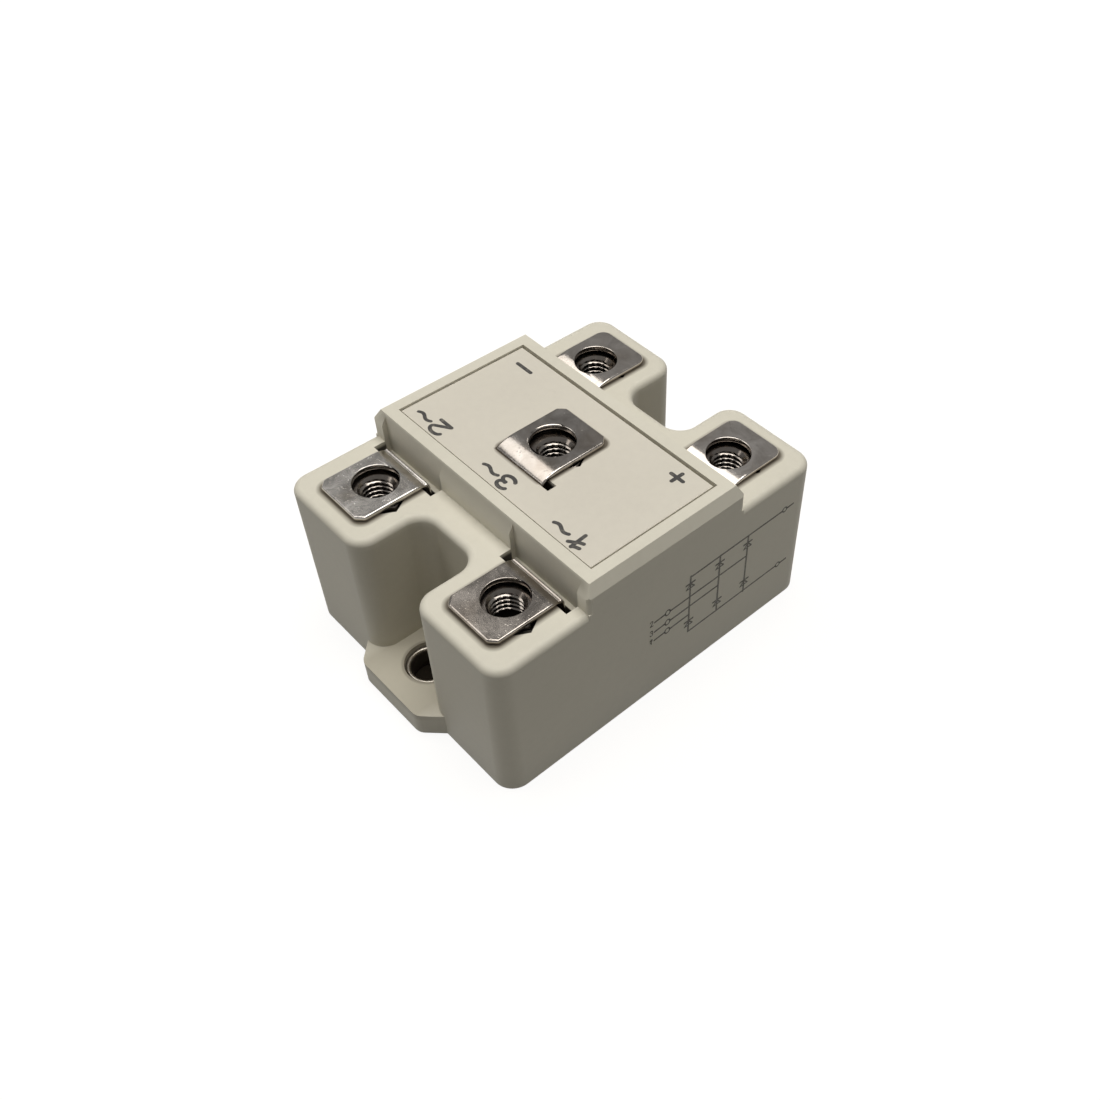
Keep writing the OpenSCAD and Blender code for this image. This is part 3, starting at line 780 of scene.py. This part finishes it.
def ring(bm, x, z, rx, rz):
    """A small printed circle, where a wire ends."""
    ribbon(bm, arc(x, z, rx, rz, 0, 345, 23), FINE_STROKE, on_front(0, 0), closed=True)


def diode_sign(bm, x, z):
    """A triangle under a bar, its crossing strokes on layers of their own."""
    strokes = (
        ([(-0.8, 0.47), (0.8, 0.47)], STROKE, 2.0),
        ([(-0.75, -0.47), (0.75, -0.47)], FINE_STROKE, 2.0),
        ([(-0.7, -0.4), (0, 0.4)], FINE_STROKE, 2.5),
        ([(0.7, -0.4), (0, 0.4)], FINE_STROKE, 3.0),
    )
    for points, width, layer in strokes:
        ribbon(bm, points, width, on_front(x, z), lift=FRONT_LAYER * layer)


def circuit():
    """Circuit of a three-phase bridge in thin printed lines on the front face."""
    bm = bmesh.new()
    place = on_front(0, 0)
    top, low = RAILS
    for z in RAILS:
        ribbon(bm, [(COLUMNS[0], z), (RAIL_END, z + 0.25)], STROKE, place)
        ring(bm, RAIL_RING, z + 0.3, 0.42, 0.42)
        ribbon(bm, [(RAIL_TAIL[0], z + 0.3), (RAIL_TAIL[1], z + 0.35)], STROKE, place)
    for x in COLUMNS:
        ribbon(bm, [(x, low), (x, top + 0.15)], STROKE, place, lift=FRONT_LAYER)
        for z in DIODE_ROWS:
            diode_sign(bm, x, z)
    for x, (digit, z) in zip(COLUMNS, INPUTS):
        ribbon(bm, [(INPUT_TAIL[0], z - 0.1), (INPUT_TAIL[1], z)], STROKE, place)
        ribbon(bm, [(INPUT_START, z), (x, z + 0.1)], STROKE, place)
        ring(bm, INPUT_RING, z, 0.45, 0.5)
        for layer, points in enumerate(digit_strokes(digit, 1.0, 0.5), start=1):
            ribbon(bm, points, DIGIT_STROKE, on_front(INPUT_DIGIT, z), lift=FRONT_LAYER * layer)
    new_piece("mark_circuit", bm, FAINT_INK)


for mark in PANEL_MARKS:
    panel_mark(*mark)
circuit()


# The setting

FLOOR_HALF = 3000.0
FLOOR_DROP = 0.02
FLOOR_COLOUR = (0.20, 0.19, 0.17)
# Painted shade: the floor under the mounting holes is dark
BORE_SHADE_COLOUR = (0.02, 0.016, 0.012)
BORE_R = 3.1
NEAR_R = 110.0
NEAR_GLOW = 0.875
LAMP_COLOUR = (1.0, 0.98, 0.95)

# Lamps: name, direction from the object, distance, size and power
LAMPS = (
    ("overhead_softbox", (0.11, -0.06, 1.0), 700.0, (500.0, 500.0), 3.58),
    ("back_strip", (-0.14, 0.37, 0.654), 760.0, (680.0, 270.0), 1.25),
    ("left_card", (-0.70, 0.45, 0.52), 750.0, (160.0, 180.0), 0.17),
)

# World: colour, and its strength on surfaces, in reflections and behind the object
WORLD_COLOUR = (0.98, 0.99, 1.0)
WORLD_LEVEL = 0.11
MIRROR_LEVEL = 0.28
BACKDROP_LEVEL = 1.02

# Camera at the photograph's angle: place, turn in degrees, and lens
CAMERA_PLACE = (-73.46, -95.44, 137.92)
CAMERA_TURN = (42.465, -1.828, -44.134)
CAMERA_LENS = 38.873
CAMERA_SHIFT = (-0.1195, 0.0115)
CAMERA_CLIP = (10.0, 20000.0)


def floor_material():
    """A pale floor that takes the shadow, seen white, dimmer near the object, with painted shade in its
    bores.
    """
    mat, tree, out = bare_material("pale_floor")
    diffuse = tree.nodes.new("ShaderNodeBsdfDiffuse")
    glow = tree.nodes.new("ShaderNodeEmission")
    both = tree.nodes.new("ShaderNodeAddShader")
    rays = tree.nodes.new("ShaderNodeLightPath").outputs
    kinds = ("Is Camera Ray", "Is Glossy Ray", "Is Transmission Ray")
    seen = combined(tree, "MAXIMUM", [rays[kind] for kind in kinds])
    bores = beside(tree, ("side_x", "y"), (HOLE_X, 0.0), (BORE_R, BORE_R), BORE_R, reach=0.6)
    clear = math_node(tree, "SUBTRACT", 1.0, bores)
    near = beside(tree, PLAIN, (0.0, 0.0), (NEAR_R, NEAR_R), NEAR_R, reach=340.0)
    level = remap(tree, near, (0.0, 1.0), (1.0, NEAR_GLOW))
    strength = combined(tree, "MULTIPLY", (seen, clear, level))
    tree.links.new(mix_colour(tree, clear, BORE_SHADE_COLOUR, FLOOR_COLOUR), diffuse.inputs["Color"])
    tree.links.new(strength, glow.inputs["Strength"])
    tree.links.new(diffuse.outputs[0], both.inputs[0])
    tree.links.new(glow.outputs[0], both.inputs[1])
    tree.links.new(both.outputs[0], out.inputs["Surface"])
    return mat


def pale_floor():
    bm = bmesh.new()
    bmesh.ops.create_grid(bm, x_segments=2, y_segments=2, size=FLOOR_HALF * MM)
    mesh = bpy.data.meshes.new("floor")
    bm.to_mesh(mesh)
    bm.free()
    mesh.materials.append(floor_material())
    floor = link(bpy.data.objects.new("floor", mesh))
    floor.location.z = -FLOOR_DROP * MM


def softbox(name, direction, distance, size, power):
    """A rectangular lamp that faces the object, its first side as near to X as it can be."""
    data = bpy.data.lights.new(name, "AREA")
    data.shape = "RECTANGLE"
    data.size, data.size_y = (side * MM for side in size)
    data.energy = power
    data.color = LAMP_COLOUR
    away = Vector(direction).normalized()
    along = (Vector((1, 0, 0)) - away * away.x).normalized()
    turn = Matrix((along, away.cross(along), away)).transposed().to_4x4()
    lamp = link(bpy.data.objects.new(name, data))
    lamp.matrix_world = Matrix.Translation(away * distance * MM) @ turn


def studio_world():
    world = bpy.data.worlds.new("studio")
    bpy.context.scene.world = world
    world.use_nodes = True
    tree = world.node_tree
    rays = tree.nodes.new("ShaderNodeLightPath").outputs
    mirror = remap(tree, rays["Is Glossy Ray"], (0.0, 1.0), (WORLD_LEVEL, MIRROR_LEVEL))
    behind = remap(tree, rays["Is Camera Ray"], (0.0, 1.0), (0.0, BACKDROP_LEVEL))
    background = tree.nodes["Background"]
    background.inputs["Color"].default_value = (*WORLD_COLOUR, 1.0)
    tree.links.new(math_node(tree, "MAXIMUM", mirror, behind), background.inputs["Strength"])


def photo_camera():
    data = bpy.data.cameras.new("camera")
    data.sensor_width = 36.0
    data.lens = CAMERA_LENS
    data.shift_x, data.shift_y = CAMERA_SHIFT
    data.clip_start, data.clip_end = (limit * MM for limit in CAMERA_CLIP)
    camera = link(bpy.data.objects.new("camera", data))
    camera.location = Vector(CAMERA_PLACE) * MM
    camera.rotation_euler = Euler([math.radians(angle) for angle in CAMERA_TURN])
    bpy.context.scene.camera = camera


pale_floor()
for lamp in LAMPS:
    softbox(*lamp)
studio_world()
photo_camera()
bpy.context.scene.view_settings.view_transform = "Standard"

bpy.context.view_layer.update()
